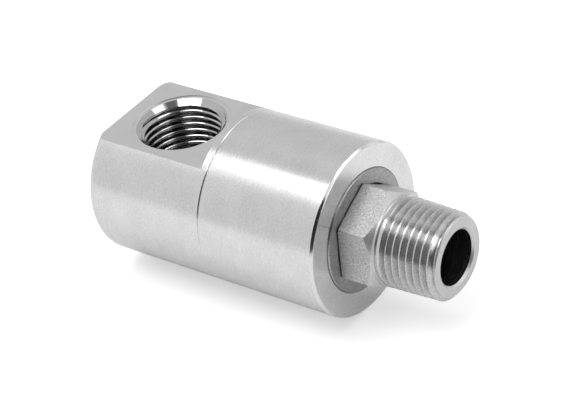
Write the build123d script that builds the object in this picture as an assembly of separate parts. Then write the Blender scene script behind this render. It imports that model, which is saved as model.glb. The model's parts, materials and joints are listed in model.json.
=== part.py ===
from build123d import *
import math
import os

# Rotary union: two screwed housings carry a hollow rotor on two ball bearings.
# The rotor turns about X. The origin is the centre of its threaded end face.
# The housings lie behind it, along -X, and the side port opens upwards, along +Z.

# Ball bearings, both alike
bearing_bore_d = 20.0
ring_wall = 1.85
bearing_width = 7.0
bearing_corner = 0.3
ball_d = 3.5
ball_count = 12
land_gap = 2.3
race_gap = 0.03
pocket_gap = 0.1
cage_gap = 0.55
cage_rim_share = 11 / 21
shield_thickness = 0.3
shield_setback = 0.3
shield_groove = 0.35
spacer_length = 4.0

# Outside of the housings
housing_wall = 4.0
rear_edge_radius = 2.0
front_chamfer = 0.55
seam_chamfer = 0.3
collar_width = 1.85
flat_depth = 4.9

# Joint of the two housings
spigot_step = 1.0
spigot_length = 9.2
o_ring_section = 1.8
o_ring_squeeze = 0.25
o_ring_setback = 1.6

# Side port
port_minor_d = 18.63
port_wall = 3.385
port_to_rear = 15.6
port_depth = 15.0
port_chamfer_width = 1.685
port_chamfer_depth = 1.2
port_land = 1.0
port_face_depth = 0.15
drill_angle = 118.0
passage_d = 12.0

# Rotor outside the housing
stub_length = 16.0
stub_root_d = 21.6
stub_taper = 1 / 16
stub_tip_chamfer = 1.1
stub_run_out = 2.0
thread_pitch = 25.4 / 14
thread_crest = 0.14
thread_angle = 60.0
hex_length = 8.4
hex_across_flats = 22.0
hex_corner_angle = 25.4
hex_face_step = 0.2
hex_chamfer_angle = 38.5
hex_rear_chamfer = 0.25
hex_gap = 0.6
rotor_bore_d = 13.2
rotor_bore_depth = 30.0
rotor_bore_chamfer = 0.5

# Rotor inside the housing
shoulder_height = 1.0
relief_depth = 0.25
relief_width = 0.8
nut_run_out = 0.5
seal_journal_step = 2.5
seal_journal_wall = 2.0
seal_journal_chamfer = 0.4
rotor_end_gap = 0.6
keyway_width = 2.7
keyway_depth = 1.6
keyway_run_out = 0.5

# Front cover and its dust seal
cover_step = 1.0
cover_depth = 3.2
cover_proud = 0.35
cover_chamfer = 0.3
cover_lip = 1.0
cover_lip_gap = 0.35
dust_seal_height = 2.5
dust_seal_lip = 0.5
web_width = 2.0
web_reach = 3.2

# Lock washer and lock nut
nut_wall = 3.5
nut_width = 4.0
nut_slot_width = 3.2
nut_slot_depth = 1.7
nut_slots = 4
nut_chamfer = 0.4
washer_thickness = 1.0
washer_step = 0.3
tongue_gap = 0.15
tab_length = 2.2
nut_swing_gap = 0.5
nut_end_gap = 0.8

# Seals in the rear housing
seal_height = 4.0
retaining_ring_setback = 0.3
retaining_ring_width = 1.0
retaining_ring_radial = 2.0
retaining_ring_bite = 0.9
retaining_ring_opening = 40.0
plier_hole_d = 0.8
backup_width = 1.6
seal_width = 3.2
energiser_section = 1.7
guide_width = 2.4
stack_float = 0.15

# Clearances
static_fit = 0.02
thread_fit = 0.05
running_fit = 0.05
backup_gap = 0.4
past = 1.0

# Radii, worked out from the sizes above
bearing_bore_r = bearing_bore_d / 2
inner_land_r = bearing_bore_r + ring_wall
outer_land_r = inner_land_r + land_gap
bearing_r = outer_land_r + ring_wall
pitch_r = inner_land_r + land_gap / 2
ball_r = ball_d / 2
track_r = ball_r + race_gap
cage_room = bearing_width / 2 - shield_setback - shield_thickness - ball_r - pocket_gap
cage_half_width = ball_r + pocket_gap + cage_rim_share * cage_room
shield_r = outer_land_r + shield_groove
journal_r = bearing_bore_r - static_fit
housing_bore_r = bearing_r + static_fit
spigot_r = bearing_r + spigot_step
body_r = spigot_r + housing_wall
flat_height = body_r - flat_depth
cover_r = bearing_r - cover_step
web_bore_r = bearing_r - web_reach
shoulder_r = bearing_bore_r + shoulder_height
dust_pocket_r = shoulder_r + dust_seal_height
nut_r = bearing_bore_r + nut_wall
washer_r = nut_r - washer_step
nut_cavity_r = nut_r + nut_swing_gap
seal_journal_r = bearing_bore_r - seal_journal_step
seal_bore_r = seal_journal_r + seal_height
rotor_passage_r = seal_journal_r - seal_journal_wall
stub_root_r = stub_root_d / 2
stub_tip_r = stub_root_r - stub_taper * stub_length / 2
hex_corner_r = hex_across_flats / 2 / math.cos(math.radians(30))
hex_face_r = hex_across_flats / 2 - hex_face_step
port_minor_r = port_minor_d / 2
port_mouth_r = port_minor_r + port_chamfer_width
port_face_r = port_mouth_r + port_land

# Stations along the axis, worked out from the lengths above
hex_front_x = -stub_length
hex_rear_x = hex_front_x - hex_length
front_x = hex_rear_x - hex_gap
cover_face_x = front_x + cover_proud
web_front_x = front_x - cover_depth
front_bearing_x = web_front_x - web_width
spacer_x = front_bearing_x - bearing_width
rear_bearing_x = spacer_x - spacer_length
washer_x = rear_bearing_x - bearing_width
seam_x = washer_x - spigot_length
nut_x = washer_x - washer_thickness
nut_rear_x = nut_x - nut_width
journal_end_x = nut_rear_x - nut_run_out
seal_bore_x = nut_rear_x - nut_end_gap
retaining_x = seal_bore_x - retaining_ring_setback
backup_x = retaining_x - retaining_ring_width
seal_x = backup_x - backup_width
guide_x = seal_x - seal_width - stack_float
cavity_end_x = guide_x - guide_width - stack_float
rotor_rear_x = cavity_end_x + rotor_end_gap
port_x = cavity_end_x - port_wall - port_minor_r
rear_x = port_x - port_to_rear
flat_front_x = seam_x - collar_width


def lathe(points):
    """Turn a closed outline of (x, radius) points about the X axis."""
    outline = make_face(Polyline(*[(x, radius) for x, radius in points], close=True))
    return revolve(outline, Axis.X)


def ring(x_front, x_rear, outer_r, inner_r, corner=0.0):
    """A plain turned ring with equal chamfers on its outer corners."""
    return lathe(
        [
            (x_front, inner_r),
            (x_front, outer_r - corner),
            (x_front - corner, outer_r),
            (x_rear + corner, outer_r),
            (x_rear, outer_r - corner),
            (x_rear, inner_r),
        ]
        if corner
        else [(x_front, inner_r), (x_front, outer_r), (x_rear, outer_r), (x_rear, inner_r)]
    )


def rod(x_front, x_rear, radius):
    """A plain round bar between two stations."""
    return Pos(x_rear, 0, 0) * Rot(0, 90, 0) * Cylinder(
        radius, x_front - x_rear, align=(Align.CENTER, Align.CENTER, Align.MIN)
    )


def torus_at(x, ring_r, section_r):
    """A doughnut about the X axis."""
    return Pos(x, 0, 0) * Rot(0, 90, 0) * Torus(ring_r, section_r)


def front_housing():
    """Barrel with a cover seat, a web that holds the front bearing, and a screwed rear socket."""
    return lathe(
        [
            (front_x, cover_r + static_fit),
            (front_x, body_r - front_chamfer),
            (front_x - front_chamfer, body_r),
            (seam_x + seam_chamfer, body_r),
            (seam_x, body_r - seam_chamfer),
            (seam_x, spigot_r + thread_fit),
            (washer_x, spigot_r + thread_fit),
            (washer_x, housing_bore_r),
            (front_bearing_x, housing_bore_r),
            (front_bearing_x, web_bore_r),
            (web_front_x, web_bore_r),
            (web_front_x, cover_r + static_fit),
        ]
    )


def rear_housing_bar():
    """The turned rear housing, before milling: barrel, spigot, O-ring groove and inner bores."""
    groove_r = spigot_r - o_ring_section + o_ring_squeeze
    groove_front_x = seam_x + o_ring_setback + o_ring_section
    groove_rear_x = seam_x + o_ring_setback
    bar = lathe(
        [
            (washer_x, nut_cavity_r),
            (washer_x, spigot_r - seam_chamfer),
            (washer_x - seam_chamfer, spigot_r),
            (groove_front_x, spigot_r),
            (groove_front_x, groove_r),
            (groove_rear_x, groove_r),
            (groove_rear_x, spigot_r),
            (seam_x, spigot_r),
            (seam_x, body_r - seam_chamfer),
            (seam_x - seam_chamfer, body_r),
            (rear_x, body_r),
            (rear_x, 0),
            (port_x, 0),
            (port_x, passage_d / 2),
            (cavity_end_x, passage_d / 2),
            (cavity_end_x, seal_bore_r),
            (backup_x - static_fit, seal_bore_r),
            (backup_x - static_fit, seal_bore_r + retaining_ring_bite),
            (retaining_x + static_fit, seal_bore_r + retaining_ring_bite),
            (retaining_x + static_fit, seal_bore_r),
            (seal_bore_x, seal_bore_r),
            (seal_bore_x, nut_cavity_r),
        ]
    )
    rear_edge = bar.edges().filter_by(GeomType.CIRCLE).sort_by(Axis.X)[0]
    return fillet(rear_edge, rear_edge_radius)


def port_cutter():
    """The port's drilling, thread bore, mouth chamfer and spot face, as one turned tool along Z."""
    face_z = flat_height - port_face_depth
    bottom_z = flat_height - port_depth
    tip_z = bottom_z - port_minor_r / math.tan(math.radians(drill_angle / 2))
    outline = Plane.XZ * make_face(
        Polyline(
            (0, tip_z),
            (port_minor_r, bottom_z),
            (port_minor_r, face_z - port_chamfer_depth),
            (port_mouth_r, face_z),
            (port_face_r, face_z),
            (port_face_r, body_r),
            (0, body_r),
            close=True,
        )
    )
    return Pos(port_x, 0, 0) * revolve(outline, Axis.Z)


def rear_housing():
    """Rear housing with its flat milled from the collar to the rear end, and the side port."""
    flat = Pos((flat_front_x + rear_x) / 2 - body_r / 2, 0, flat_height) * Box(
        flat_front_x - rear_x + body_r,
        2 * body_r,
        2 * body_r,
        align=(Align.CENTER, Align.CENTER, Align.MIN),
    )
    return rear_housing_bar() - flat - port_cutter()


def hexagon():
    """The rotor's hexagon, its corners turned down at the front and broken at the rear."""
    drop = (hex_corner_r - hex_face_r) * math.tan(math.radians(hex_chamfer_angle))
    prism = Pos(hex_rear_x, 0, 0) * extrude(
        Plane.YZ * RegularPolygon(hex_corner_r, 6, rotation=hex_corner_angle), hex_length
    )
    turned = lathe(
        [
            (hex_front_x, 0),
            (hex_front_x, hex_face_r),
            (hex_front_x - drop, hex_corner_r),
            (hex_rear_x + hex_rear_chamfer, hex_corner_r),
            (hex_rear_x, hex_corner_r - hex_rear_chamfer),
            (hex_rear_x, 0),
        ]
    )
    return prism & turned


def stub_crest_r(x):
    """Radius over the stub's thread crests at a station."""
    along = (-x - stub_tip_chamfer) / (stub_length - stub_tip_chamfer)
    return stub_tip_r + (stub_root_r - stub_tip_r) * along


def stub_grooves():
    """The stub's thread, drawn as turned V grooves at its pitch from the tip to the run-out."""
    half = (thread_pitch - thread_crest) / 2
    depth = half / math.tan(math.radians(thread_angle / 2))
    room = stub_length - stub_tip_chamfer - stub_run_out
    outline = []
    for i in range(int(room / thread_pitch)):
        root_x = -stub_tip_chamfer - thread_crest - half - i * thread_pitch
        outline.append((root_x + half, stub_crest_r(root_x + half)))
        outline.append((root_x, stub_crest_r(root_x) - depth))
        outline.append((root_x - half, stub_crest_r(root_x - half)))
    return outline


def rotor_shaft():
    """The turned shaft of the rotor: threaded stub, shoulder, bearing journal and seal journal."""
    relief_r = journal_r - relief_depth
    return lathe(
        [
            (0, 0),
            (0, stub_tip_r - stub_tip_chamfer),
            (-stub_tip_chamfer, stub_tip_r),
            *stub_grooves(),
            (hex_front_x, stub_root_r),
            (hex_rear_x, stub_root_r),
            (hex_rear_x, shoulder_r),
            (front_bearing_x, shoulder_r),
            (front_bearing_x, relief_r),
            (front_bearing_x - relief_width, relief_r),
            (front_bearing_x - relief_width, journal_r),
            (journal_end_x, journal_r),
            (journal_end_x, seal_journal_r),
            (rotor_rear_x + seal_journal_chamfer, seal_journal_r),
            (rotor_rear_x, seal_journal_r - seal_journal_chamfer),
            (rotor_rear_x, 0),
        ]
    )


def rotor_bore():
    """The rotor's stepped through bore, opened by a chamfer at the threaded end."""
    mouth_r = rotor_bore_d / 2
    step = (mouth_r - rotor_passage_r) / math.tan(math.radians(drill_angle / 2))
    return lathe(
        [
            (past, 0),
            (past, mouth_r + rotor_bore_chamfer),
            (0, mouth_r + rotor_bore_chamfer),
            (-rotor_bore_chamfer, mouth_r),
            (-rotor_bore_depth, mouth_r),
            (-rotor_bore_depth - step, rotor_passage_r),
            (rotor_rear_x - past, rotor_passage_r),
            (rotor_rear_x - past, 0),
        ]
    )


def keyway():
    """The slot along the nut thread that takes the lock washer's tongue."""
    front = washer_x + keyway_run_out
    return Pos((front + journal_end_x) / 2, 0, journal_r - keyway_depth) * Box(
        front - journal_end_x,
        keyway_width,
        2 * keyway_depth,
        align=(Align.CENTER, Align.CENTER, Align.MIN),
    )


def rotor():
    """Hollow rotor in one piece: hexagon, threaded stub, journals, through bore and keyway."""
    return rotor_shaft() + hexagon() - rotor_bore() - keyway()


def front_cover():
    """Ring in the mouth of the front housing, with a pocket for the dust seal behind its lip."""
    lip_r = shoulder_r + cover_lip_gap
    return lathe(
        [
            (cover_face_x, lip_r),
            (cover_face_x, cover_r - cover_chamfer),
            (cover_face_x - cover_chamfer, cover_r),
            (web_front_x, cover_r),
            (web_front_x, dust_pocket_r),
            (cover_face_x - cover_lip, dust_pocket_r),
            (cover_face_x - cover_lip, lip_r),
        ]
    )


def dust_seal():
    """Elastic ring with one lip that leans forwards onto the rotor's shoulder."""
    front = cover_face_x - cover_lip - static_fit
    rear = web_front_x + static_fit
    outer_r = dust_pocket_r - static_fit
    waist_r = shoulder_r + dust_seal_lip
    lip_r = shoulder_r + running_fit
    return lathe(
        [
            (front, waist_r),
            (front, outer_r),
            (rear, outer_r),
            (rear, waist_r),
            ((front + rear) / 2, waist_r),
            (front - dust_seal_lip, lip_r),
            (front, lip_r),
        ]
    )


def bearing_outer_ring(x_front):
    """Outer ring with its ball track and a step for a shield at each face."""
    x_rear = x_front - bearing_width
    middle = (x_front + x_rear) / 2
    step = shield_setback + shield_thickness
    blank = lathe(
        [
            (x_front, shield_r),
            (x_front, bearing_r - bearing_corner),
            (x_front - bearing_corner, bearing_r),
            (x_rear + bearing_corner, bearing_r),
            (x_rear, bearing_r - bearing_corner),
            (x_rear, shield_r),
            (x_rear + step, shield_r),
            (x_rear + step, outer_land_r),
            (x_front - step, outer_land_r),
            (x_front - step, shield_r),
        ]
    )
    return blank - torus_at(middle, pitch_r, track_r)


def bearing_inner_ring(x_front):
    """Inner ring with its ball track and chamfered bore."""
    x_rear = x_front - bearing_width
    middle = (x_front + x_rear) / 2
    blank = lathe(
        [
            (x_front, bearing_bore_r + bearing_corner),
            (x_front, inner_land_r),
            (x_rear, inner_land_r),
            (x_rear, bearing_bore_r + bearing_corner),
            (x_rear + bearing_corner, bearing_bore_r),
            (x_front - bearing_corner, bearing_bore_r),
        ]
    )
    return blank - torus_at(middle, pitch_r, track_r)


def ball_places(x_front):
    """Centres of one bearing's balls, even around its pitch circle."""
    middle = x_front - bearing_width / 2
    turns = [2 * math.pi * i / ball_count for i in range(ball_count)]
    return [(middle, pitch_r * math.cos(t), pitch_r * math.sin(t)) for t in turns]


def bearing_balls(x_front):
    """One bearing's balls, as separate solids."""
    return Compound([Pos(*place) * Sphere(ball_r) for place in ball_places(x_front)])


def bearing_cage(x_front):
    """Machined cage with one round pocket for each ball."""
    middle = x_front - bearing_width / 2
    outer_r = outer_land_r - cage_gap
    inner_r = inner_land_r + cage_gap
    cage = ring(middle + cage_half_width, middle - cage_half_width, outer_r, inner_r)
    pocket = Cylinder(ball_r + pocket_gap, 2 * land_gap)
    for i in range(ball_count):
        turn = 360 * i / ball_count
        cage -= Rot(turn, 0, 0) * Pos(middle, pitch_r, 0) * Rot(90, 0, 0) * pocket
    return cage


def bearing_shields(x_front):
    """The two thin shields in the outer ring's steps, clear of the inner ring."""
    x_rear = x_front - bearing_width
    outer_r = shield_r - static_fit
    inner_r = inner_land_r + pocket_gap
    step = shield_setback + shield_thickness
    front = ring(x_front - shield_setback, x_front - step, outer_r, inner_r)
    rear = ring(x_rear + step, x_rear + shield_setback, outer_r, inner_r)
    return Compound([front, rear])


def inner_spacer():
    """Sleeve between the two inner rings."""
    outer_r = inner_land_r - bearing_corner
    return ring(spacer_x, rear_bearing_x, outer_r, bearing_bore_r)


def outer_spacer():
    """Sleeve between the two outer rings."""
    return ring(spacer_x, rear_bearing_x, bearing_r, shield_r + bearing_corner)


def lock_washer():
    """Flat washer with a tongue in the keyway and a tab bent into a slot of the nut."""
    flat = ring(washer_x, nut_x, washer_r, bearing_bore_r + static_fit)
    tongue_bottom = journal_r - keyway_depth + tongue_gap
    tongue = Pos((washer_x + nut_x) / 2, 0, tongue_bottom) * Box(
        washer_thickness,
        keyway_width - 2 * tongue_gap,
        keyway_depth + 2 * tongue_gap,
        align=(Align.CENTER, Align.CENTER, Align.MIN),
    )
    tab_bottom = nut_r - nut_slot_depth + tongue_gap
    tab = Pos(washer_x, 0, tab_bottom) * Box(
        washer_thickness + tab_length,
        nut_slot_width - 2 * tongue_gap,
        washer_r - tab_bottom,
        align=(Align.MAX, Align.CENTER, Align.MIN),
    )
    return flat + tongue + tab


def lock_nut():
    """Round nut with chamfered edges and open slots for a hook spanner."""
    nut = ring(nut_x, nut_rear_x, nut_r, bearing_bore_r + thread_fit, nut_chamfer)
    slot = Pos((nut_x + nut_rear_x) / 2, 0, nut_r - nut_slot_depth) * Box(
        nut_width + 2 * nut_chamfer,
        nut_slot_width,
        2 * nut_slot_depth,
        align=(Align.CENTER, Align.CENTER, Align.MIN),
    )
    for i in range(nut_slots):
        nut -= Rot(360 * i / nut_slots, 0, 0) * slot
    return nut


def housing_o_ring():
    """Static O-ring, flattened between the spigot's groove and the front housing."""
    groove_r = spigot_r - o_ring_section + o_ring_squeeze
    height = spigot_r + thread_fit - groove_r - 2 * static_fit
    middle = Pos(seam_x + o_ring_setback + o_ring_section / 2, groove_r + static_fit + height / 2)
    full = middle * Circle(o_ring_section / 2 - static_fit)
    squeezed = full & middle * Rectangle(o_ring_section, height)
    return revolve(squeezed, Axis.X)


def retaining_ring():
    """Split ring sprung into its groove in the seal bore, with a plier hole in each end."""
    outer_r = seal_bore_r + retaining_ring_bite - static_fit
    inner_r = outer_r - retaining_ring_radial
    whole = ring(retaining_x, backup_x, outer_r, inner_r)
    half = math.radians(retaining_ring_opening / 2)
    reach = 2 * outer_r
    wedge = Plane.YZ * make_face(
        Polyline(
            (0, 0),
            (reach * math.sin(half), -reach * math.cos(half)),
            (-reach * math.sin(half), -reach * math.cos(half)),
            close=True,
        )
    )
    gap = Pos(backup_x - past, 0, 0) * extrude(wedge, retaining_ring_width + 2 * past)
    split = whole - gap
    hole_turn = retaining_ring_opening / 2 + math.degrees(plier_hole_d / inner_r)
    hole = Pos(0, 0, -(inner_r + outer_r) / 2) * rod(
        retaining_x + past, backup_x - past, plier_hole_d / 2
    )
    return split - Rot(hole_turn, 0, 0) * hole - Rot(-hole_turn, 0, 0) * hole


def backup_washer():
    """Steel ring that keeps the pressure seal from squeezing out along the rotor."""
    return ring(backup_x, seal_x, seal_bore_r - static_fit, seal_journal_r + backup_gap)


def pressure_seal():
    """Slipper ring that seals on the rotor, grooved outside for its energiser."""
    outer_r = seal_bore_r - static_fit
    inner_r = seal_journal_r + running_fit
    groove_r = seal_bore_r - energiser_section
    side = (seal_width - energiser_section) / 2 - static_fit
    front = seal_x - static_fit
    rear = seal_x - seal_width
    return lathe(
        [
            (front, inner_r),
            (front, outer_r),
            (front - side, outer_r),
            (front - side, groove_r),
            (rear + side, groove_r),
            (rear + side, outer_r),
            (rear, outer_r),
            (rear, inner_r),
        ]
    )


def seal_energiser():
    """O-ring in the pressure seal's groove, pressing it inwards."""
    section_r = energiser_section / 2 - static_fit
    return torus_at(seal_x - seal_width / 2, seal_bore_r - energiser_section / 2, section_r)


def guide_ring():
    """Plain bearing ring that centres the rotor's rear end."""
    return ring(
        guide_x,
        guide_x - guide_width,
        seal_bore_r - static_fit,
        seal_journal_r + running_fit,
        bearing_corner,
    )


def bearing(name, x_front):
    """All pieces of one ball bearing, under the names of their nodes."""
    return {
        name + "_bearing_outer_ring": bearing_outer_ring(x_front),
        name + "_bearing_inner_ring": bearing_inner_ring(x_front),
        name + "_bearing_balls": bearing_balls(x_front),
        name + "_bearing_cage": bearing_cage(x_front),
        name + "_bearing_shields": bearing_shields(x_front),
    }


def union():
    """Every piece of the rotary union, under the name of its node."""
    return {
        "front_housing": front_housing(),
        "rear_housing": rear_housing(),
        "rotor": rotor(),
        "front_cover": front_cover(),
        "dust_seal": dust_seal(),
        **bearing("front", front_bearing_x),
        **bearing("rear", rear_bearing_x),
        "inner_spacer": inner_spacer(),
        "outer_spacer": outer_spacer(),
        "lock_washer": lock_washer(),
        "lock_nut": lock_nut(),
        "housing_o_ring": housing_o_ring(),
        "retaining_ring": retaining_ring(),
        "backup_washer": backup_washer(),
        "pressure_seal": pressure_seal(),
        "seal_energiser": seal_energiser(),
        "guide_ring": guide_ring(),
    }


os.makedirs("parts", exist_ok=True)
for node, solid in union().items():
    export_step(solid, os.path.join("parts", node + ".step"))
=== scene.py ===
import json
import math

import bmesh
import bpy
import numpy as np
from mathutils import Matrix, Vector

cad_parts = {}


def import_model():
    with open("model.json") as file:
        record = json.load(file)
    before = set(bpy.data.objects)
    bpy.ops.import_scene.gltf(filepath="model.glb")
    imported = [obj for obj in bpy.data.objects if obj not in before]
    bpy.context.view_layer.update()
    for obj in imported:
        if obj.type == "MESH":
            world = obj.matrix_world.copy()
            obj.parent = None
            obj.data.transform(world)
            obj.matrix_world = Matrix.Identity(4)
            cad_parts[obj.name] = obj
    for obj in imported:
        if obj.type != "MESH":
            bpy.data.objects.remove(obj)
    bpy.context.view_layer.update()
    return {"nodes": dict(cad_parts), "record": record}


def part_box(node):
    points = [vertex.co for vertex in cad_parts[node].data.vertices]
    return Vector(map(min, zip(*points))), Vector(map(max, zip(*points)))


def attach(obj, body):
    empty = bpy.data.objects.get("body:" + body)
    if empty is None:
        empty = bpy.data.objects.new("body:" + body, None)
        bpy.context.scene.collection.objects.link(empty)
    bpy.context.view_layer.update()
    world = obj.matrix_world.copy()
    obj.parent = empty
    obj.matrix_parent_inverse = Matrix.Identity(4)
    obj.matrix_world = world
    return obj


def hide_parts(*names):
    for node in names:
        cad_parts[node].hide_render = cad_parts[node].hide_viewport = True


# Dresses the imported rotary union. Metres, in the shared frame: the rotor turns
# about X, its threaded end face is at the origin, and the side port opens along +Z.

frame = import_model()

MM = 0.001
TURN = 2 * math.pi
HAIR = 0.0001 * MM


def stations(node):
    """Rear station, front station and outer radius of a turned node."""
    low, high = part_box(node)
    return low.x, high.x, high.y


def mount(name):
    """A mount of the record, by name."""
    return next(m for m in frame["record"]["mounts"] if m["name"] == name)


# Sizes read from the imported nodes
seam_x, front_x, body_r = stations("front_housing")
rear_x, washer_x, _ = stations("rear_housing")
web_front_x, cover_face_x, cover_r = stations("front_cover")
rotor_rear_x, tip_x, _ = stations("rotor")
_, front_bearing_x, bearing_r = stations("front_bearing_outer_ring")
nut_rear_x, _, nut_r = stations("lock_nut")
retaining_rear_x, retaining_x, _ = stations("retaining_ring")
guide_x, _, guide_r = stations("guide_ring")
dust_pocket_r = stations("dust_seal")[2] + 0.02 * MM
port_x, _, port_bore_mouth_z = mount("port_thread")["pos_m"]
port_minor_r = mount("port_thread")["dims"]["r_mm"] * MM
port_thread_length = mount("port_thread")["dims"]["length_mm"] * MM
port_face_z = mount("port_face")["pos_m"][2]

# Housings
FIT = 0.02 * MM
FRONT_CHAMFER = 0.55 * MM
SEAM_CHAMFER = 0.2 * MM
REAR_EDGE_R = 2.0 * MM
COLLAR_WIDTH = 1.85 * MM
FLAT_DEPTH = 4.9 * MM
SPIGOT_STEP = 1.0 * MM
THREAD_FIT = 0.05 * MM
WEB_REACH = 3.2 * MM
NUT_SWING = 0.5 * MM
O_RING_SECTION = 1.8 * MM
O_RING_SQUEEZE = 0.25 * MM
O_RING_SETBACK = 1.6 * MM
RETAINING_BITE = 0.9 * MM
NUT_END_GAP = 0.8 * MM
STACK_FLOAT = 0.15 * MM
PASSAGE_R = 6.0 * MM
BREAK = 0.08 * MM

# Rounded corners of a turned outline
BREAK_SHARE = 0.3
ARC_STEP = 0.2 * MM
GUARD_GAP = 0.3 * BREAK
RING_COLUMNS = 288
FLAT_COLUMNS = RING_COLUMNS // 5

# Side port: parallel pipe thread, 14 turns to the inch, 55 degree flanks
PIPE_PITCH = 25.4 * MM / 14
PORT_MAJOR_R = 10.478 * MM
PORT_MOUTH_R = 11.0 * MM
PORT_FACE_R = 12.0 * MM
PORT_DRILL_DEPTH = 1.0 * MM
DRILL_HALF_ANGLE = math.radians(59)
PORT_THREAD_START = 0.3
PORT_COLUMNS = 160

# Half of the port thread, from the middle of its crest, in millimetres along the port and deep
PORT_PROFILE_OUT = [0, 0.085, 0.155, 0.221, 0.686, 0.752, 0.822, 0.907]
PORT_PROFILE_DEPTH = [0, 0.015, 0.054, 0.134, 1.029, 1.109, 1.148, 1.163]

# Where one turn of the port thread has its rows of points: down one flank, and up the next
PORT_ROWS_DOWN = [0, 0.085, 0.155, 0.221, 0.45, 0.686, 0.752, 0.822]
PORT_ROWS_UP = [0.907, 0.992, 1.062, 1.128, 1.36, 1.593, 1.659, 1.729]
PORT_ROWS = np.array(PORT_ROWS_DOWN + PORT_ROWS_UP) * MM

# Rotor: tapered pipe thread, 14 turns to the inch, 60 degree flanks
STUB_LENGTH = 16.0 * MM
STUB_ROOT_R = 10.8 * MM
STUB_TIP_R = 10.3 * MM
TIP_CHAMFER = 1.1 * MM
HEX_LENGTH = 8.4 * MM
HEX_FLAT_R = 11.0 * MM
HEX_FACE_R = 10.8 * MM
HEX_CORNER_ANGLE = math.radians(25.4)
HEX_CHAMFER_SLOPE = math.tan(math.radians(38.5))
HEX_REAR_CHAMFER = 0.25 * MM
HEX_CORNER_ROUND = 0.35 * MM
THREAD_DEPTH = 0.8 * PIPE_PITCH
THREAD_HALF_ANGLE = math.radians(30)
CREST_FLAT = 0.16 * MM
CREST_X = -0.507 * MM
FLANK_ROWS = 6
RUN_OUT = 2.6 * MM
NECK = 0.9 * MM
BORE_R = 6.6 * MM
BORE_DEPTH = 30.0 * MM
BORE_CHAMFER = 0.5 * MM
BORE_REAR_R = 5.5 * MM
SHOULDER_R = 11.0 * MM
JOURNAL_R = 9.98 * MM
RELIEF_DEPTH = 0.25 * MM
RELIEF_WIDTH = 0.8 * MM
SEAL_JOURNAL_R = 7.5 * MM
SEAL_JOURNAL_CHAMFER = 0.4 * MM
NUT_RUN_OUT = 0.5 * MM
KEYWAY_WIDTH = 2.7 * MM
KEYWAY_DEPTH = 1.6 * MM
KEYWAY_FRONT_GAP = 0.5 * MM
KEYWAY_REAR_GAP = 1.0 * MM
HEX_CORNER_COLUMNS = [0, 0.27, 0.54, 0.8, 1.1]
ROTOR_COLUMN_SPACING = 2.5

# Cover
COVER_CHAMFER = 0.25 * MM
COVER_GAP = 0.13 * MM
COVER_GAP_DEPTH = 0.6 * MM
COVER_LIP = 1.0 * MM
COVER_LIP_GAP = 0.35 * MM

flat_z = body_r - FLAT_DEPTH
flat_front_x = seam_x - COLLAR_WIDTH
cavity_end_x = guide_x - STACK_FLOAT
hex_front_x = tip_x - STUB_LENGTH
hex_rear_x = hex_front_x - HEX_LENGTH
spigot_r = bearing_r + SPIGOT_STEP
bearing_bore_r = bearing_r + FIT
seal_bore_r = guide_r + FIT


# Meshes


def rounded(outline):
    """The rows of a closed outline of (x, radius) points, each corner broken by a small arc.

    A third number is the reach of a corner's own, larger arc. A guard row just beyond each
    end of an arc keeps the faces next to it flat in shading."""
    places = [np.array(point[:2]) for point in outline]
    rows = []
    for i, corner in enumerate(places):
        back, ahead = places[i - 1] - corner, places[(i + 1) % len(places)] - corner
        room = BREAK_SHARE * min(np.linalg.norm(back), np.linalg.norm(ahead))
        reach = outline[i][2] if len(outline[i]) > 2 else min(BREAK, room)
        if corner[1] < reach:
            rows.append(corner)
            continue
        back, ahead = back / np.linalg.norm(back), ahead / np.linalg.norm(ahead)
        middle = (back + ahead) / 2
        centre = corner + middle * reach / middle.dot(middle)
        start, end = corner + back * reach - centre, corner + ahead * reach - centre
        sweep = math.acos(np.clip(start.dot(end) / start.dot(start), -1, 1))
        steps = max(3, round(reach / ARC_STEP))
        rows.append(corner + back * (reach + GUARD_GAP))
        for t in np.linspace(0, 1, steps + 1):
            share = np.array([math.sin((1 - t) * sweep), math.sin(t * sweep)]) / math.sin(sweep)
            rows.append(centre + start * share[0] + end * share[1])
        rows.append(corner + ahead * (reach + GUARD_GAP))
    return rows


def welded(grid, wrap=True):
    """Points and faces of a grid of rings, with coinciding points merged and empty faces left out.

    The shift keeps round sizes clear of the places where rounding turns over."""
    shift = 0.237
    keys = np.round(grid.reshape(-1, 3) / HAIR + shift).astype(np.int64)
    _, first, index = np.unique(keys, axis=0, return_index=True, return_inverse=True)
    index = index.reshape(grid.shape[:2])
    rings = list(range(len(grid))) + ([0] if wrap else [])
    faces = []
    for a, b in zip(rings, rings[1:]):
        for j in range(grid.shape[1] - 1):
            corners = (index[a, j], index[a, j + 1], index[b, j + 1], index[b, j])
            face = list(dict.fromkeys(int(c) for c in corners))
            if len(face) > 2:
                faces.append(face)
    return grid.reshape(-1, 3)[first], faces


def mesh_piece(name, points, faces, sharp=35):
    """A shown object from points and faces, shaded smooth up to an angle in degrees."""
    mesh = bpy.data.meshes.new(name)
    mesh.from_pydata(points.tolist(), [], faces)
    work = bmesh.new()
    work.from_mesh(mesh)
    bmesh.ops.recalc_face_normals(work, faces=work.faces)
    work.to_mesh(mesh)
    work.free()
    shade(mesh, sharp)
    piece = bpy.data.objects.new(name, mesh)
    bpy.context.scene.collection.objects.link(piece)
    return piece


def shade(mesh, sharp):
    """Smooth shading, kept sharp across edges of more than an angle in degrees."""
    mesh.polygons.foreach_set("use_smooth", [True] * len(mesh.polygons))
    mesh.set_sharp_from_angle(angle=math.radians(sharp))


def carve(piece, cutter, sharp=30):
    """Take one closed mesh away from another, then drop the cutter."""
    cut = piece.modifiers.new("cut", "BOOLEAN")
    cut.operation = "DIFFERENCE"
    cut.solver = "EXACT"
    cut.object = cutter
    graph = bpy.context.evaluated_depsgraph_get()
    mesh = bpy.data.meshes.new_from_object(piece.evaluated_get(graph))
    piece.modifiers.clear()
    piece.data = mesh
    bpy.data.objects.remove(cutter)
    shade(mesh, sharp)


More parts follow.
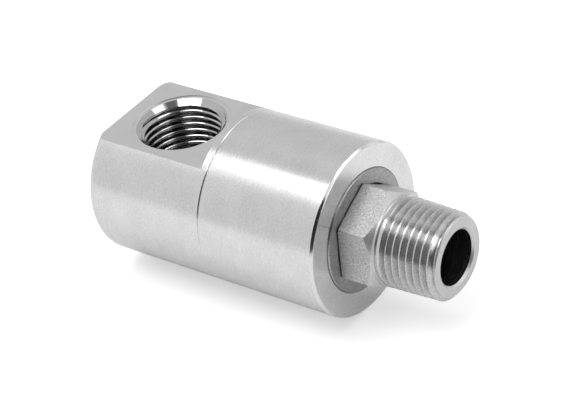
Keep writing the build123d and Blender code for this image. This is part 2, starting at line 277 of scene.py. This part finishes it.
def around_x(rows, angles):
    """A grid of rings about X from rows of (x, radius), each a number or one value per angle."""
    grid = []
    for x, radius in rows:
        x = np.broadcast_to(x, angles.shape)
        radius = np.broadcast_to(radius, angles.shape)
        grid.append(np.stack([x, radius * np.cos(angles), radius * np.sin(angles)], axis=-1))
    return np.array(grid)


def replace_node(piece, node, body):
    """The piece stands for a CAD node, which it hides, and moves with its body."""
    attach(piece, body)
    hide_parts(node)
    return piece


def turned_piece(name, outline):
    """A ring turned from a closed outline, corners broken."""
    angles = np.linspace(0, TURN, RING_COLUMNS + 1)
    return mesh_piece(name, *welded(around_x(rounded(outline), angles)))


def front_housing():
    """The round barrel, with its bearing bore, socket and the web behind the cover."""
    seat_r = cover_r + FIT
    web_r = bearing_r - WEB_REACH
    socket_r = spigot_r + THREAD_FIT
    return turned_piece(
        "front_housing_body",
        [
            (front_x, seat_r),
            (front_x, body_r - FRONT_CHAMFER),
            (front_x - FRONT_CHAMFER, body_r),
            (seam_x + SEAM_CHAMFER, body_r),
            (seam_x, body_r - SEAM_CHAMFER),
            (seam_x, socket_r),
            (washer_x, socket_r),
            (washer_x, bearing_bore_r),
            (front_bearing_x, bearing_bore_r),
            (front_bearing_x, web_r),
            (web_front_x, web_r),
            (web_front_x, seat_r),
        ],
    )


def front_cover():
    """The ring in the barrel's mouth, turned down at its front edge."""
    lip_r = SHOULDER_R + COVER_LIP_GAP
    return turned_piece(
        "front_cover_ring",
        [
            (cover_face_x, lip_r),
            (cover_face_x, cover_r - COVER_GAP - COVER_CHAMFER),
            (cover_face_x - COVER_CHAMFER, cover_r - COVER_GAP),
            (cover_face_x - COVER_GAP_DEPTH, cover_r - COVER_GAP),
            (cover_face_x - COVER_GAP_DEPTH, cover_r),
            (web_front_x, cover_r),
            (web_front_x, dust_pocket_r),
            (cover_face_x - COVER_LIP, dust_pocket_r),
            (cover_face_x - COVER_LIP, lip_r),
        ],
    )


def flat_grid(rows):
    """Rings about X, cut off at the height of the flat behind the collar.

    Each ring has a column exactly on both edges of the flat, so that the edges stay straight."""
    grid = []
    for x, radius, milled in rows:
        edge = math.asin(min(1.0, flat_z / radius)) if milled and radius > flat_z else None
        start = math.asin(flat_z / body_r) if edge is None else edge
        top = np.linspace(start, math.pi - start, FLAT_COLUMNS + 1)
        side = np.linspace(math.pi - start, TURN + start, RING_COLUMNS - FLAT_COLUMNS + 1)[1:]
        angles = np.concatenate([top, side])
        radii = np.full(angles.shape, radius)
        if edge is not None:
            radii[: FLAT_COLUMNS + 1] = flat_z / np.sin(top)
        stations_x = np.full(angles.shape, x)
        grid.append(np.stack([stations_x, radii * np.cos(angles), radii * np.sin(angles)], axis=-1))
    return np.array(grid)


def rear_housing():
    """The round bar with its spigot, cavity, seal bore and flat, and the threaded port cut in."""
    cavity_r = nut_r + NUT_SWING + HAIR
    groove_r = spigot_r - O_RING_SECTION + O_RING_SQUEEZE
    groove_rear_x = seam_x + O_RING_SETBACK
    groove_front_x = groove_rear_x + O_RING_SECTION
    seal_bore_x = nut_rear_x - NUT_END_GAP
    outline = [
        (port_x, 0),
        (port_x, PASSAGE_R),
        (cavity_end_x, PASSAGE_R),
        (cavity_end_x, seal_bore_r),
        (retaining_rear_x - FIT, seal_bore_r),
        (retaining_rear_x - FIT, seal_bore_r + RETAINING_BITE),
        (retaining_x + FIT, seal_bore_r + RETAINING_BITE),
        (retaining_x + FIT, seal_bore_r),
        (seal_bore_x, seal_bore_r),
        (seal_bore_x, cavity_r),
        (washer_x, cavity_r),
        (washer_x, spigot_r - SEAM_CHAMFER),
        (washer_x - SEAM_CHAMFER, spigot_r),
        (groove_front_x, spigot_r),
        (groove_front_x, groove_r),
        (groove_rear_x, groove_r),
        (groove_rear_x, spigot_r),
        (seam_x, spigot_r),
        (seam_x, body_r - SEAM_CHAMFER),
        (seam_x - SEAM_CHAMFER, body_r),
        (rear_x, body_r, REAR_EDGE_R),
        (rear_x, 0),
    ]
    rows = []
    for x, radius in rounded(outline):
        milled = x < flat_front_x
        if milled and rows and not rows[-1][2] and radius > flat_z:
            rows.append((flat_front_x, body_r, False))
            rows.append((flat_front_x, body_r, True))
        rows.append((x, radius, milled))
    points, faces = welded(flat_grid(rows), wrap=False)
    piece = mesh_piece("rear_housing_body", points, faces)
    carve(piece, port_cutter())
    return piece


def helix_rows(start, end, offsets, pitch):
    """Offsets of the rows of a thread between two stations, with one pitch to spare at the start."""
    rows = []
    base = start - pitch
    while base < end + pitch:
        rows += [base + offset for offset in offsets]
        base += pitch
    return rows


def port_cutter():
    """The port as a closed plug along Z: drill point, threaded bore, mouth chamfer and spot face."""
    bottom_z = port_bore_mouth_z - port_thread_length
    tip_z = bottom_z - port_minor_r / math.tan(DRILL_HALF_ANGLE)
    chamfer_slope = (PORT_MOUTH_R - port_minor_r) / (port_face_z - port_bore_mouth_z)
    thread_end_z = bottom_z + PORT_DRILL_DEPTH
    angles = np.linspace(0, TURN, PORT_COLUMNS + 1)
    shift = PIPE_PITCH * angles / TURN
    crest_z = thread_end_z + PORT_THREAD_START * PIPE_PITCH

    def radius_at(z):
        phase = np.abs((z - shift - crest_z + PIPE_PITCH / 2) % PIPE_PITCH - PIPE_PITCH / 2)
        depth = np.interp(phase / MM, PORT_PROFILE_OUT, PORT_PROFILE_DEPTH) * MM
        thread = PORT_MAJOR_R - depth
        cone = port_minor_r + (z - port_bore_mouth_z) * chamfer_slope
        return np.maximum(np.maximum(thread, cone), port_minor_r)

    rings = [(tip_z, 0), (bottom_z, port_minor_r), (thread_end_z, port_minor_r)]
    first = crest_z - PIPE_PITCH * math.ceil((crest_z - thread_end_z) / PIPE_PITCH)
    for z in helix_rows(first, port_face_z, PORT_ROWS, PIPE_PITCH):
        height = np.clip(z + shift, thread_end_z, port_face_z)
        rings.append((height, radius_at(height)))
    rings += [(port_face_z, PORT_MOUTH_R), (port_face_z, PORT_FACE_R), (body_r, PORT_FACE_R), (body_r, 0)]
    grid = []
    for z, radius in rings:
        height = np.broadcast_to(z, angles.shape)
        grid.append(np.stack([port_x + radius * np.cos(angles), radius * np.sin(angles), height], axis=-1))
    return mesh_piece("port_cutter", *welded(np.array(grid), wrap=False))


def rotor_angles():
    """Angles from one hexagon corner round to it again, closer together at each corner."""
    spacing = ROTOR_COLUMN_SPACING
    sixth = HEX_CORNER_COLUMNS + list(np.arange(spacing, 60 - spacing / 2, spacing))
    sixth += [60 - n for n in reversed(HEX_CORNER_COLUMNS[1:])]
    degrees = [60 * k + a for k in range(6) for a in sixth] + [360]
    return HEX_CORNER_ANGLE + np.radians(degrees)


def thread_radius(x, angles):
    """Radius of the tapered thread at each station, one station per angle."""
    crest = STUB_ROOT_R + (x - hex_front_x) * (STUB_TIP_R - STUB_ROOT_R) / STUB_LENGTH
    shift = PIPE_PITCH * angles / TURN
    phase = np.abs((x - CREST_X - shift + PIPE_PITCH / 2) % PIPE_PITCH - PIPE_PITCH / 2)
    drop = np.clip((phase - CREST_FLAT / 2) / math.tan(THREAD_HALF_ANGLE), 0, THREAD_DEPTH)
    lift = THREAD_DEPTH * np.clip(1 - (x - hex_front_x) / RUN_OUT, 0, 1)
    thread = crest - np.clip(drop - lift, 0, None)
    cone = STUB_TIP_R - TIP_CHAMFER + (tip_x - x)
    return np.minimum(thread, cone)


def thread_rows(angles):
    """Rows that follow the thread's helix from the hexagon to the end face."""
    half = CREST_FLAT / 2
    flank = np.linspace(half, PIPE_PITCH / 2 - half, FLANK_ROWS)
    offsets = np.concatenate([[0], flank, PIPE_PITCH - flank[::-1]])
    shift = PIPE_PITCH * angles / TURN
    turns = math.ceil((CREST_X - hex_front_x + shift[-1]) / PIPE_PITCH)
    first = CREST_X - turns * PIPE_PITCH
    rows = []
    for x in helix_rows(first, tip_x, offsets, PIPE_PITCH):
        station = np.clip(x + shift, hex_front_x, tip_x)
        rows.append((station, thread_radius(station, angles)))
    return rows


def hexagon_rows(angles):
    """Rows over the hexagon, from its rear edge to its turned front face."""
    corner_r = HEX_FLAT_R / math.cos(math.radians(30))
    turn = (angles - HEX_CORNER_ANGLE) % (TURN / 6) - TURN / 12
    flat = HEX_FLAT_R / np.cos(turn)
    off_corner = TURN / 12 - np.abs(turn)
    centre_r = corner_r - HEX_CORNER_ROUND / math.cos(math.radians(30))
    reach = HEX_CORNER_ROUND * math.tan(math.radians(30))
    limit = math.atan(reach * math.sin(math.radians(60)) / (corner_r - reach / 2))
    inside = np.clip(HEX_CORNER_ROUND**2 - (centre_r * np.sin(off_corner)) ** 2, 0, None)
    flat = np.where(off_corner < limit, centre_r * np.cos(off_corner) + np.sqrt(inside), flat)
    rear_r = corner_r - HEX_REAR_CHAMFER
    rear_edge = np.minimum(flat, rear_r)
    return [
        (hex_rear_x, SHOULDER_R),
        (hex_rear_x, rear_edge),
        (hex_rear_x + flat - rear_edge, flat),
        (hex_front_x - (flat - HEX_FACE_R) * HEX_CHAMFER_SLOPE, flat),
        (hex_front_x, np.full(angles.shape, HEX_FACE_R)),
    ]


def rotor():
    """The hollow shaft with its hexagon, tapered thread and the slot for the lock washer."""
    angles = rotor_angles()
    relief_r = JOURNAL_R - RELIEF_DEPTH
    journal_end_x = nut_rear_x - NUT_RUN_OUT
    bore_step = (BORE_R - BORE_REAR_R) / math.tan(DRILL_HALF_ANGLE)
    shaft = [
        (rotor_rear_x, BORE_REAR_R),
        (rotor_rear_x, SEAL_JOURNAL_R - SEAL_JOURNAL_CHAMFER),
        (rotor_rear_x + SEAL_JOURNAL_CHAMFER, SEAL_JOURNAL_R),
        (journal_end_x, SEAL_JOURNAL_R),
        (journal_end_x, JOURNAL_R),
        (front_bearing_x - RELIEF_WIDTH, JOURNAL_R),
        (front_bearing_x - RELIEF_WIDTH, relief_r),
        (front_bearing_x, relief_r),
        (front_bearing_x, SHOULDER_R),
    ]
    mouth_r = BORE_R + BORE_CHAMFER
    bore = [
        (tip_x, mouth_r),
        (tip_x - BORE_CHAMFER, BORE_R),
        (tip_x - BORE_DEPTH, BORE_R),
        (tip_x - BORE_DEPTH - bore_step, BORE_REAR_R),
    ]
    rows = shaft + hexagon_rows(angles) + thread_rows(angles) + bore
    piece = mesh_piece("rotor_body", *welded(around_x(rows, angles)))
    carve(piece, keyway_cutter(), sharp=35)
    return piece


def keyway_cutter():
    """The slot for the lock washer's tongue, as a block along the nut thread."""
    front, rear = washer_x + KEYWAY_FRONT_GAP, nut_rear_x - NUT_RUN_OUT - KEYWAY_REAR_GAP
    low, high = JOURNAL_R - KEYWAY_DEPTH, JOURNAL_R + KEYWAY_DEPTH
    half = KEYWAY_WIDTH / 2
    points = np.array([(x, y, z) for x in (rear, front) for y in (-half, half) for z in (low, high)])
    faces = [[0, 1, 3, 2], [4, 6, 7, 5], [0, 4, 5, 1], [2, 3, 7, 6], [0, 2, 6, 4], [1, 5, 7, 3]]
    return mesh_piece("keyway_cutter", points, faces)


# Materials

# The middle of a noise's range
NOISE_LOW = 0.3
NOISE_HIGH = 0.7

# Steel: how far its marks change tone and gloss, and how high they stand
CLOUD_SCALE = 160.0
CLOUD_TONE = 0.04
LINE_TONE = 0.03
LINE_GLOSS = 0.12
LINE_ROUGHNESS = 0.65
LINE_HEIGHT = 0.01 * MM
GRAIN_HEIGHT = 0.02 * MM
QUARTER_TURN = 0.25

# Plain surfaces of the inner pieces
PLAIN_SCALE = 600.0
PLAIN_STOPS = (0.35, 0.65)
PLAIN_TONE = 0.06
PLAIN_GLOSS = 0.15
PLAIN_BUMP = 0.08


def add_node(tree, kind, inputs=None, **settings):
    """A new shader node, its settings made and its inputs linked or filled in."""
    node = tree.nodes.new(kind)
    for key, value in settings.items():
        setattr(node, key, value)
    for key, value in (inputs or {}).items():
        if isinstance(value, bpy.types.NodeSocket):
            tree.links.new(value, node.inputs[key])
        else:
            node.inputs[key].default_value = value
    return node


class Nodes:
    """Adds and links shader nodes of one material."""

    def __init__(self, name):
        self.material = bpy.data.materials.new(name)
        self.material.use_nodes = True
        self.tree = self.material.node_tree
        self.shader = self.tree.nodes["Principled BSDF"]

    def add(self, kind, inputs=None, **settings):
        return add_node(self.tree, kind, inputs, **settings)

    def math(self, operation, a, b=0.0):
        return self.add("ShaderNodeMath", {0: a, 1: b}, operation=operation).outputs[0]

    def link(self, output, socket):
        self.tree.links.new(output, self.shader.inputs[socket])

    def bump(self, height, strength, distance, under=None):
        """Bump from a height, over the normal that lies under it."""
        inputs = {"Height": height, "Strength": strength, "Distance": distance}
        if under is not None:
            inputs["Normal"] = under
        return self.add("ShaderNodeBump", inputs).outputs[0]


def turning_coordinates(nodes):
    """The shaded point, and its distances along X and from X, which lathe marks follow."""
    place = nodes.add("ShaderNodeTexCoord").outputs["Object"]
    x, y, z = nodes.add("ShaderNodeSeparateXYZ", {0: place}).outputs
    square = nodes.math("ADD", nodes.math("MULTIPLY", y, y), nodes.math("MULTIPLY", z, z))
    radius = nodes.math("SQRT", square)
    return place, nodes.add("ShaderNodeCombineXYZ", {0: x, 1: radius}).outputs[0]


def spread(nodes, value, low, high):
    """Map the middle of a noise's range onto two values."""
    inputs = {"Value": value, "From Min": NOISE_LOW, "From Max": NOISE_HIGH}
    inputs |= {"To Min": low, "To Max": high}
    return nodes.add("ShaderNodeMapRange", inputs).outputs[0]


def noise(nodes, place, scale, detail, **settings):
    """Noise at a place, with a scale in cells per metre or per unit of the place."""
    inputs = {"Vector": place, "Scale": scale, "Detail": detail}
    return nodes.add("ShaderNodeTexNoise", inputs, **settings)


def steel(
    name,
    grey,
    roughness,
    anisotropy=0.0,
    line=0.12,
    line_bump=0.15,
    grain=0.25,
    grain_bump=0.1,
    speckle=0.02,
):
    """Machined steel: fine rings round X, grain, faint cloudy patches and a stretched highlight.

    line and grain are widths in millimetres. The highlight stretches across the rings."""
    nodes = Nodes(name)
    place, ring = turning_coordinates(nodes)
    line_scale = {0: ring, "Scale": 1 / (line * MM)}
    ring = nodes.add("ShaderNodeVectorMath", line_scale, operation="SCALE").outputs[0]
    marks = noise(nodes, ring, 1.0, 4.0, noise_dimensions="2D")
    marks.inputs["Roughness"].default_value = LINE_ROUGHNESS
    lines = marks.outputs[0]
    cloud = noise(nodes, place, CLOUD_SCALE, 3.0).outputs[0]
    grains = noise(nodes, place, 1 / (grain * MM), 2.0).outputs[0]
    value = spread(nodes, cloud, grey * (1 - CLOUD_TONE), grey * (1 + CLOUD_TONE))
    value = nodes.math("MULTIPLY", value, spread(nodes, lines, 1 - LINE_TONE, 1 + LINE_TONE))
    value = nodes.math("MULTIPLY", value, spread(nodes, grains, 1 - speckle, 1 + speckle))
    colour = nodes.add("ShaderNodeCombineColor", {0: value, 1: value, 2: value}).outputs[0]
    nodes.link(colour, "Base Color")
    low, high = roughness * (1 - LINE_GLOSS), roughness * (1 + LINE_GLOSS)
    nodes.link(spread(nodes, lines, low, high), "Roughness")
    bump = nodes.bump(lines, line_bump, LINE_HEIGHT)
    nodes.link(nodes.bump(grains, grain_bump, GRAIN_HEIGHT, bump), "Normal")
    if anisotropy:
        nodes.link(nodes.add("ShaderNodeTangent", direction_type="RADIAL", axis="X").outputs[0], "Tangent")
        nodes.shader.inputs["Anisotropic"].default_value = anisotropy
        nodes.shader.inputs["Anisotropic Rotation"].default_value = QUARTER_TURN
    nodes.shader.inputs["Metallic"].default_value = 1.0
    return nodes.material


def plain_surface(name, colour, roughness, metallic):
    """A fine-grained surface for the pieces inside the housings."""
    nodes = Nodes(name)
    place = nodes.add("ShaderNodeTexCoord").outputs["Object"]
    specks = noise(nodes, place, PLAIN_SCALE, 3.0).outputs[0]
    ramp = nodes.add("ShaderNodeValToRGB", {0: specks})
    shares = (1 - PLAIN_TONE, 1 + PLAIN_TONE)
    for end, position, share in zip(ramp.color_ramp.elements, PLAIN_STOPS, shares):
        end.position = position
        end.color = [min(1.0, c * share) for c in colour] + [1.0]
    nodes.link(ramp.outputs[0], "Base Color")
    low, high = roughness * (1 - PLAIN_GLOSS), roughness * (1 + PLAIN_GLOSS)
    nodes.link(spread(nodes, specks, low, high), "Roughness")
    nodes.link(nodes.bump(specks, PLAIN_BUMP, LINE_HEIGHT), "Normal")
    nodes.shader.inputs["Metallic"].default_value = metallic
    return nodes.material


def cover_with(piece, material):
    """Give a piece one material in place of what it has."""
    piece.data.materials.clear()
    piece.data.materials.append(material)


def cover_faces(piece, material, chosen):
    """Give a second material to the faces that a test on centre and normal picks."""
    piece.data.materials.append(material)
    slot = len(piece.data.materials) - 1
    for face in piece.data.polygons:
        if chosen(face.center, face.normal):
            face.material_index = slot


brushed = {"line": 0.25, "grain": 0.35, "grain_bump": 0.3, "speckle": 0.08}
housing_steel = steel("housing_steel", 0.72, 0.28, anisotropy=0.85, line_bump=0.2, **brushed)
face_steel = steel("face_steel", 0.72, 0.24, anisotropy=0.7, **brushed)
edge_steel = steel("edge_steel", 0.72, 0.16, line_bump=0.05, speckle=0.05)
milled_steel = steel("milled_steel", 0.7, 0.36, line_bump=0.05)
port_steel = steel("port_steel", 0.54, 0.08, line_bump=0.0, grain_bump=0.05)
rotor_steel = steel("rotor_steel", 0.54, 0.28, anisotropy=0.3, grain=0.3, grain_bump=0.2, speckle=0.05)
# The bore's darker grey is painted shade, for the shade deep inside the bore.
shaded_bore_steel = steel("shaded_bore_steel", 0.42, 0.25, line=0.4, line_bump=1.5, grain=0.3, grain_bump=0.8)
hex_steel = steel("hex_steel", 0.55, 0.48, line_bump=0.0, grain=0.35, grain_bump=0.8, speckle=0.3)
thread_steel = steel("thread_steel", 0.57, 0.2, line_bump=0.2, grain=0.3, grain_bump=0.3, speckle=0.15)
cut = {"line_bump": 0.2, "grain": 0.3, "grain_bump": 0.15, "speckle": 0.25}
flank_steel = steel("flank_steel", 0.57, 0.3, anisotropy=1.0, **cut)
rough = {"grain": 0.35, "grain_bump": 0.5}
cone_steel = steel("cone_steel", 0.6, 0.4, anisotropy=0.2, line_bump=0.4, speckle=0.1, **rough)
# The cover's dark grey is painted shade: the shade in the recess between the hexagon and the barrel's
# face, and the hexagon's shade mirrored in it.
cover_steel = steel(
    "cover_steel", 0.35, 0.38, anisotropy=0.5, line=0.2, line_bump=0.5, speckle=0.25, **rough
)

front_body = replace_node(front_housing(), "front_housing", "housing")
rear_body = replace_node(rear_housing(), "rear_housing", "housing")
rotor_body = replace_node(rotor(), "rotor", "rotor")
cover_ring = replace_node(front_cover(), "front_cover", "housing")
for piece, material in (
    (front_body, housing_steel),
    (rear_body, housing_steel),
    (rotor_body, rotor_steel),
    (cover_ring, cover_steel),
):
    cover_with(piece, material)


# Which faces have a finish of their own, by the part of a face's normal along X
TURNED = 0.05
SLANTED = 0.5
FACED = 0.95
END_FACED = 0.99
TIP_SLANT = (0.6, 0.8)
MILLED = 0.999

# Depths and radii that tell the faces apart
FRONT_FACE_DEPTH = 0.2 * MM
FLAT_FACE_DEPTH = 0.3 * MM
PORT_LOW_Z = -1.0 * MM
EDGE = 0.01 * MM
BORE_WALL = 0.05 * MM
THREAD_WALL = 0.6 * MM
HEX_OUTSIDE_R = 10.0 * MM


def off_axis(point):
    return math.hypot(point.y, point.z)


def is_front_face(centre, normal):
    return normal.x > FACED and centre.x > front_x - FRONT_FACE_DEPTH


def is_front_edge(centre, normal):
    return TURNED < normal.x < FACED and centre.x > front_x - 2 * FRONT_CHAMFER


def is_flat(centre, normal):
    return normal.z > MILLED and centre.z > flat_z - FLAT_FACE_DEPTH


def is_port_wall(centre, normal):
    below_flat = PORT_LOW_Z < centre.z < flat_z - EDGE
    return below_flat and math.hypot(centre.x - port_x, centre.y) < PORT_MOUTH_R


def is_hexagon_side(centre, normal):
    on_hexagon = hex_rear_x < centre.x < hex_front_x
    return on_hexagon and abs(normal.x) < TURNED and off_axis(centre) > HEX_OUTSIDE_R


def is_cone_or_neck(centre, normal):
    if not hex_rear_x < centre.x < hex_front_x + NECK:
        return False
    return normal.x > TURNED or centre.x > hex_front_x and off_axis(centre) > HEX_OUTSIDE_R


def is_on_thread(centre):
    return hex_front_x + NECK < centre.x < tip_x and off_axis(centre) > BORE_R + THREAD_WALL


def is_thread(centre, normal):
    return is_on_thread(centre) and normal.x < END_FACED


def is_flank(centre, normal):
    return is_on_thread(centre) and SLANTED < abs(normal.x) < END_FACED


def is_tip_chamfer(centre, normal):
    return centre.x > tip_x - TIP_CHAMFER and TIP_SLANT[0] < normal.x < TIP_SLANT[1]


def is_bore_wall(centre, normal):
    return off_axis(centre) < BORE_R + BORE_WALL and abs(normal.x) < FACED


for piece, material, chosen in (
    (front_body, face_steel, is_front_face),
    (front_body, edge_steel, is_front_edge),
    (rear_body, milled_steel, is_flat),
    (rear_body, port_steel, is_port_wall),
    (rotor_body, hex_steel, is_hexagon_side),
    (rotor_body, cone_steel, is_cone_or_neck),
    (rotor_body, thread_steel, is_thread),
    (rotor_body, flank_steel, is_flank),
    (rotor_body, cone_steel, is_tip_chamfer),
    (rotor_body, shaded_bore_steel, is_bore_wall),
):
    cover_faces(piece, material, chosen)

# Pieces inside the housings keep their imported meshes
INNER_FINISHES = {
    "bearing_steel": ((0.62, 0.63, 0.64), 0.22, 1.0),
    "ball_steel": ((0.72, 0.73, 0.75), 0.06, 1.0),
    "cage_brass": ((0.68, 0.5, 0.22), 0.32, 1.0),
    "shield_steel": ((0.56, 0.57, 0.58), 0.28, 1.0),
    "spacer_steel": ((0.5, 0.51, 0.52), 0.36, 1.0),
    "spring_steel": ((0.16, 0.16, 0.17), 0.42, 1.0),
    "nitrile_rubber": ((0.03, 0.03, 0.03), 0.62, 0.0),
    "seal_plastic": ((0.8, 0.79, 0.74), 0.5, 0.0),
    "guide_bronze": ((0.6, 0.4, 0.22), 0.4, 1.0),
}
finishes = {slot: plain_surface(slot, *finish) for slot, finish in INNER_FINISHES.items()}
for part in frame["record"]["subparts"]:
    if part["material_slot"] in finishes:
        cover_with(frame["nodes"][part["node"]], finishes[part["material_slot"]])


# Stage, light and camera


def towards(azimuth, elevation):
    """Unit vector at an azimuth from +X towards +Y and an elevation, in degrees."""
    a, e = math.radians(azimuth), math.radians(elevation)
    return Vector((math.cos(e) * math.cos(a), math.cos(e) * math.sin(a), math.sin(e)))


# Floor. Its glow makes it white to the camera, and a little of it shows in reflections
FLOOR_SIZE = (2, 3)
FLOOR_FRONT_X = 0.11
FLOOR_TONE = 0.9
FLOOR_ROUGHNESS = 0.9
FLOOR_GLOW = 0.4
MIRRORED_GLOW = 0.06

# World, as it lights the floor and as the steel mirrors it. A reach is the pair of cosines
# from a direction between which its tone comes in
WORLD_LIGHT = 1.2
TOP_TONE = 0.68
PALE_SIDE = towards(237, 0)
PALE_REACH = (0.3, 0.8)
PALE_TONE = 0.92
DARK_SIDE = towards(-46, 10)
DARK_REACH = (0.4, 0.62)
DARK_TONE = 0.03
LAMP_GAP = towards(-14, 76)
LAMP_GAP_REACH = (0.983, 0.991)
LAMP_GAP_TONE = 0.3

# Lamps: azimuth and elevation, width and height as seen from the object, in degrees, and glow
LAMP_DISTANCE = 1.1
STEEP = 0.75
LAMPS = {
    "lamp_top": ((28, 38), (64, 16), 1.05),
    "lamp_front": ((8, 8), (16, 20), 5.0),
    "lamp_side": ((50, 10), (60, 18), 0.3),
    "lamp_band": ((-114, 71), (34, 17), 4.0),
    "lamp_high_front": ((38, 62), (32, 18), 1.6),
    "lamp_band_edge": ((-105, 59), (24, 7), 2.0),
    "lamp_thread": ((-70, 58), (20, 7), 5.0),
}

# The camera stands where the photograph was taken from
CAMERA_PLACE = (0.224836, -0.307053, 0.287250)
CAMERA_RIGHT = (0.80310, 0.57807, -0.14444)
CAMERA_UP = (-0.24131, 0.53720, 0.80819)
CAMERA_LENS = 134.84
CAMERA_SENSOR = 36
CAMERA_CLIP = (0.01, 10)

middle = Vector(((rear_x + tip_x) / 2, 0, 0))


def floor():
    """The rectangle that the object lies on, with its front edge at FLOOR_FRONT_X."""
    length, width = FLOOR_SIZE
    near, far = FLOOR_FRONT_X, FLOOR_FRONT_X - length
    corners = [(far, -width / 2), (near, -width / 2), (near, width / 2), (far, width / 2)]
    mesh = bpy.data.meshes.new("floor")
    mesh.from_pydata([(x, y, -body_r) for x, y in corners], [], [[0, 1, 2, 3]])
    mesh.materials.append(floor_material())
    plane = bpy.data.objects.new("floor", mesh)
    bpy.context.scene.collection.objects.link(plane)


def floor_material():
    """Pale floor that looks white to the camera and keeps the object's shadow."""
    nodes = Nodes("floor")
    nodes.shader.inputs["Base Color"].default_value = (FLOOR_TONE, FLOOR_TONE, FLOOR_TONE, 1)
    nodes.shader.inputs["Roughness"].default_value = FLOOR_ROUGHNESS
    path = nodes.add("ShaderNodeLightPath").outputs
    mirrored = nodes.math("MAXIMUM", path["Is Glossy Ray"], path["Is Transmission Ray"])
    mirrored = nodes.math("MULTIPLY", mirrored, MIRRORED_GLOW)
    glow = nodes.math("MAXIMUM", mirrored, nodes.math("MULTIPLY", path["Is Camera Ray"], FLOOR_GLOW))
    nodes.shader.inputs["Emission Color"].default_value = (1, 1, 1, 1)
    nodes.link(glow, "Emission Strength")
    return nodes.material


def world():
    """White behind the object, and the studio that the steel mirrors.

    That is pale on three sides, dark on the camera's side, with a dark gap between the lamps."""
    scene_world = bpy.data.worlds.new("studio")
    bpy.context.scene.world = scene_world
    scene_world.use_nodes = True
    tree = scene_world.node_tree
    background = tree.nodes["Background"]

    def joined(operation, a, b):
        return add_node(tree, "ShaderNodeMath", {0: a, 1: b}, operation=operation).outputs[0]

    def tone_towards(side, reach, low, high):
        facing = {0: direction, 1: side}
        facing = add_node(tree, "ShaderNodeVectorMath", facing, operation="DOT_PRODUCT").outputs["Value"]
        inputs = {"Value": facing, "From Min": reach[0], "From Max": reach[1]}
        inputs |= {"To Min": low, "To Max": high}
        return add_node(tree, "ShaderNodeMapRange", inputs, interpolation_type="SMOOTHSTEP").outputs[0]

    path = add_node(tree, "ShaderNodeLightPath").outputs
    seen = joined("MAXIMUM", path["Is Camera Ray"], path["Is Glossy Ray"])
    seen = joined("MAXIMUM", seen, path["Is Transmission Ray"])
    strength = add_node(tree, "ShaderNodeMapRange", {"Value": seen, "To Min": WORLD_LIGHT, "To Max": 1.0})
    tree.links.new(strength.outputs[0], background.inputs["Strength"])

    direction = add_node(tree, "ShaderNodeTexCoord").outputs["Generated"]
    pale = tone_towards(PALE_SIDE, PALE_REACH, TOP_TONE, PALE_TONE)
    dark = tone_towards(DARK_SIDE, DARK_REACH, 1.0, DARK_TONE)
    gap = tone_towards(LAMP_GAP, LAMP_GAP_REACH, 1.0, LAMP_GAP_TONE)
    tone = joined("MULTIPLY", joined("MULTIPLY", pale, dark), gap)
    tone = joined("MAXIMUM", tone, path["Is Camera Ray"])
    colour = add_node(tree, "ShaderNodeCombineColor", {0: tone, 1: tone, 2: tone}).outputs[0]
    tree.links.new(colour, background.inputs["Color"])


def softbox(name, back, angles, glow):
    """A lamp that faces the object from one side, wide and high as seen from it, in degrees."""
    data = bpy.data.lights.new(name, "AREA")
    data.shape = "RECTANGLE"
    data.size, data.size_y = (2 * LAMP_DISTANCE * math.tan(math.radians(angle / 2)) for angle in angles)
    data.energy = math.pi * data.size * data.size_y * glow
    lamp = bpy.data.objects.new(name, data)
    wide = Vector((0, 0, 1)).cross(back) if abs(back.z) < STEEP else Vector((1, 0, 0))
    wide = (wide - wide.dot(back) * back).normalized()
    turn = Matrix((wide, back.cross(wide), back)).transposed().to_4x4()
    lamp.matrix_world = Matrix.Translation(middle + back * LAMP_DISTANCE) @ turn
    bpy.context.scene.collection.objects.link(lamp)


def camera():
    """The camera at the photograph's place and angle of view."""
    data = bpy.data.cameras.new("camera")
    data.sensor_width = CAMERA_SENSOR
    data.lens = CAMERA_LENS
    data.clip_start, data.clip_end = CAMERA_CLIP
    right, up = Vector(CAMERA_RIGHT).normalized(), Vector(CAMERA_UP).normalized()
    back = right.cross(up).normalized()
    up = back.cross(right)
    turn = Matrix((right, up, back)).transposed().to_4x4()
    shown = bpy.data.objects.new("camera", data)
    shown.matrix_world = Matrix.Translation(CAMERA_PLACE) @ turn
    bpy.context.scene.collection.objects.link(shown)
    bpy.context.scene.camera = shown


world()
floor()
for name, (place, angles, glow) in LAMPS.items():
    softbox(name, towards(*place), angles, glow)
camera()
bpy.context.scene.view_settings.view_transform = "Standard"
